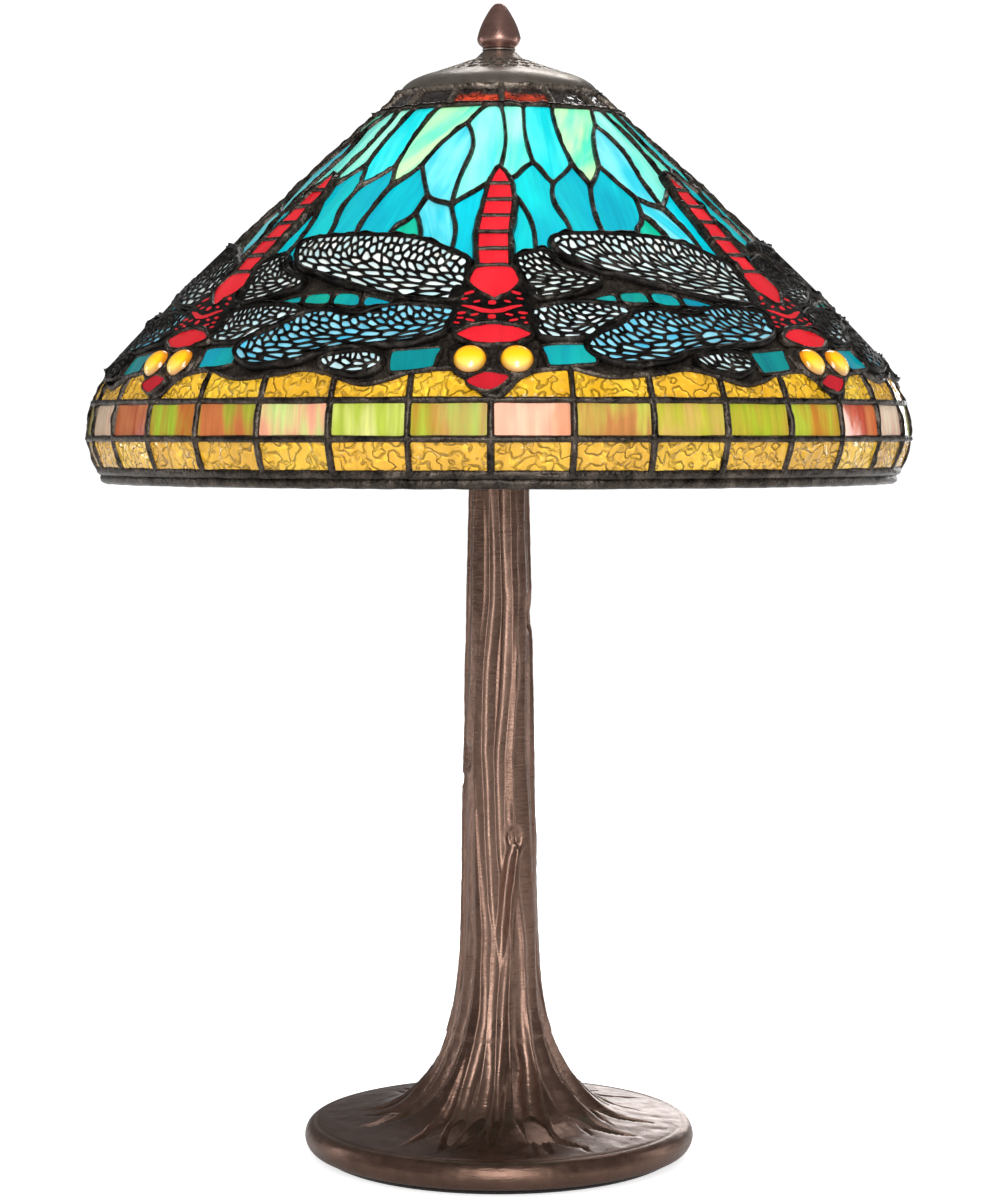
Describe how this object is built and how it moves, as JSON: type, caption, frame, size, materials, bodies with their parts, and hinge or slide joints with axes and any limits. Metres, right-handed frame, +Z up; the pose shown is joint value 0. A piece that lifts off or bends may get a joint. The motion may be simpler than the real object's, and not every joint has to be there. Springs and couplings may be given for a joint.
{
  "type": "stained glass table lamp",
  "caption": "Leaded glass cone shade with dragonflies round its lower half, hung on a cast tree-trunk base with pull-chain sockets, vented cap and finial",
  "frame": {"origin": "centre of the felt pad's underside, on the axis of the lamp pipe, at table level", "axes": "+Z up along the lamp pipe, -Y is the front of the lamp, +X is the viewer's right"},
  "size_m": [0.4096, 0.4091, 0.5733],
  "materials": {
    "bronze": "cast metal with a dark brown bronze patina, rubbed to copper on the high bark",
    "patina_metal": "spun metal with a dark brown-grey satin patina",
    "finial_bronze": "turned metal with a reddish-brown satin patina",
    "lead": "solder and lead came, dark patina, slightly glossy",
    "filigree": "etched sheet brass with a near-black patina over pale glass",
    "turquoise_glass": "streaky opalescent sheet glass, mint to turquoise",
    "red_glass": "streaky red sheet glass, with domed amber eyes",
    "amber_glass": "hammered amber glass",
    "streaky_glass": "streaky opalescent glass, green, cream, orange and pink",
    "brown_glass": "dark brown rippled glass",
    "brass": "plain brass, slightly dulled",
    "steel": "zinc-plated steel",
    "iron": "rough black iron",
    "porcelain": "glazed white",
    "bulb_glass": "frosted white",
    "brown_plastic": "brown moulded vinyl",
    "felt": "dark green felt"
  },
  "bodies": {
    "stand": {"tree_base_casting": "bronze", "felt_pad": "felt", "base_ballast": "iron", "pipe_bottom_washer": "steel", "pipe_bottom_nut": "steel", "trunk_top_collar": "bronze", "trunk_lock_nut": "brass", "lamp_pipe": "brass", "power_cord": "brown_plastic", "cord_bushing": "brown_plastic", "plug_body": "brown_plastic", "plug_blade_left": "brass", "plug_blade_right": "brass", "cluster_body": "brass", "cluster_lock_nut": "brass", "shade_seat_nut": "brass", "socket_cap_left": "brass", "socket_shell_left": "brass", "socket_core_left": "porcelain", "socket_screw_shell_left": "brass", "chain_guide_left": "brass", "socket_cap_right": "brass", "socket_shell_right": "brass", "socket_core_right": "porcelain", "socket_screw_shell_right": "brass", "chain_guide_right": "brass"},
    "seat": {"seat_washer": "brass"},
    "shade": {"shade_leadwork": "lead", "wing_filigree": "filigree", "glass_background": "turquoise_glass", "glass_border_upper": "amber_glass", "glass_border_middle": "streaky_glass", "glass_border_lower": "amber_glass", "glass_crown_row": "brown_glass", "shade_rim_wire": "brass", "shade_top_ring": "brass", "shade_spider": "brass", "dragonfly_body_1": "red_glass", "dragonfly_body_2": "red_glass", "dragonfly_body_3": "red_glass", "dragonfly_body_4": "red_glass", "dragonfly_body_5": "red_glass", "dragonfly_body_6": "red_glass", "dragonfly_body_7": "red_glass"},
    "cap": {"vented_cap": "patina_metal"},
    "finial_seat": {"finial_washer": "brass"},
    "finial": {"finial": "finial_bronze"},
    "bulb_carrier_left": {"bulb_contact_left": "steel"},
    "bulb_left": {"bulb_base_left": "brass", "bulb_glass_left": "bulb_glass"},
    "pull_switch_left": {"pull_link_left": "brass"},
    "pull_left": {"pull_chain_left": "brass", "pull_knob_left": "brass"},
    "bulb_carrier_right": {"bulb_contact_right": "steel"},
    "bulb_right": {"bulb_base_right": "brass", "bulb_glass_right": "bulb_glass"},
    "pull_switch_right": {"pull_link_right": "brass"},
    "pull_right": {"pull_chain_right": "brass", "pull_knob_right": "brass"}
  },
  "joints": [
    {"name": "shade_turn", "type": "hinge", "parent": "stand", "child": "seat", "pos_m": [0, 0, 0.5204], "axis": [0, 0, 1], "continuous": true},
    {"name": "shade_lift", "type": "slide", "parent": "seat", "child": "shade", "axis": [0, 0, 1], "range_m": [0, 0.26]},
    {"name": "cap_turn", "type": "hinge", "parent": "shade", "child": "cap", "pos_m": [0, 0, 0.54], "axis": [0, 0, 1], "continuous": true},
    {"name": "finial_lift", "type": "slide", "parent": "shade", "child": "finial_seat", "axis": [0, 0, 1], "range_m": [0, 0.00658]},
    {"name": "finial_turn", "type": "hinge", "parent": "finial_seat", "child": "finial", "pos_m": [0, 0, 0.56], "axis": [0, 0, 1], "range_deg": [0, 2520]},
    {"name": "bulb_advance_left", "type": "slide", "parent": "stand", "child": "bulb_carrier_left", "axis": [-1, 0, 0], "range_m": [0, 0.01452]},
    {"name": "bulb_turn_left", "type": "hinge", "parent": "bulb_carrier_left", "child": "bulb_left", "pos_m": [-0.09, 0, 0.408], "axis": [-1, 0, 0], "range_deg": [0, 1440.1]},
    {"name": "pull_left_travel", "type": "slide", "parent": "stand", "child": "pull_switch_left", "axis": [0, 0, -1], "range_m": [0, 0.008], "stiffness_N_per_m": 250},
    {"name": "pull_left_swing", "type": "hinge", "parent": "pull_switch_left", "child": "pull_left", "pos_m": [-0.046, 0, 0.37915], "axis": [0, 1, 0], "range_deg": [-30, 30]},
    {"name": "bulb_advance_right", "type": "slide", "parent": "stand", "child": "bulb_carrier_right", "axis": [1, 0, 0], "range_m": [0, 0.01452]},
    {"name": "bulb_turn_right", "type": "hinge", "parent": "bulb_carrier_right", "child": "bulb_right", "pos_m": [0.09, 0, 0.408], "axis": [1, 0, 0], "range_deg": [0, 1440.1]},
    {"name": "pull_right_travel", "type": "slide", "parent": "stand", "child": "pull_switch_right", "axis": [0, 0, -1], "range_m": [0, 0.008], "stiffness_N_per_m": 250},
    {"name": "pull_right_swing", "type": "hinge", "parent": "pull_switch_right", "child": "pull_right", "pos_m": [0.046, 0, 0.37915], "axis": [0, 1, 0], "range_deg": [-30, 30]}
  ],
  "couplings": [
    {"joint": "finial_turn", "follows": "finial_lift", "rad_per_m": 6684.2},
    {"joint": "bulb_turn_left", "follows": "bulb_advance_left", "rad_per_m": 1730.9},
    {"joint": "bulb_turn_right", "follows": "bulb_advance_right", "rad_per_m": 1730.9}
  ]
}
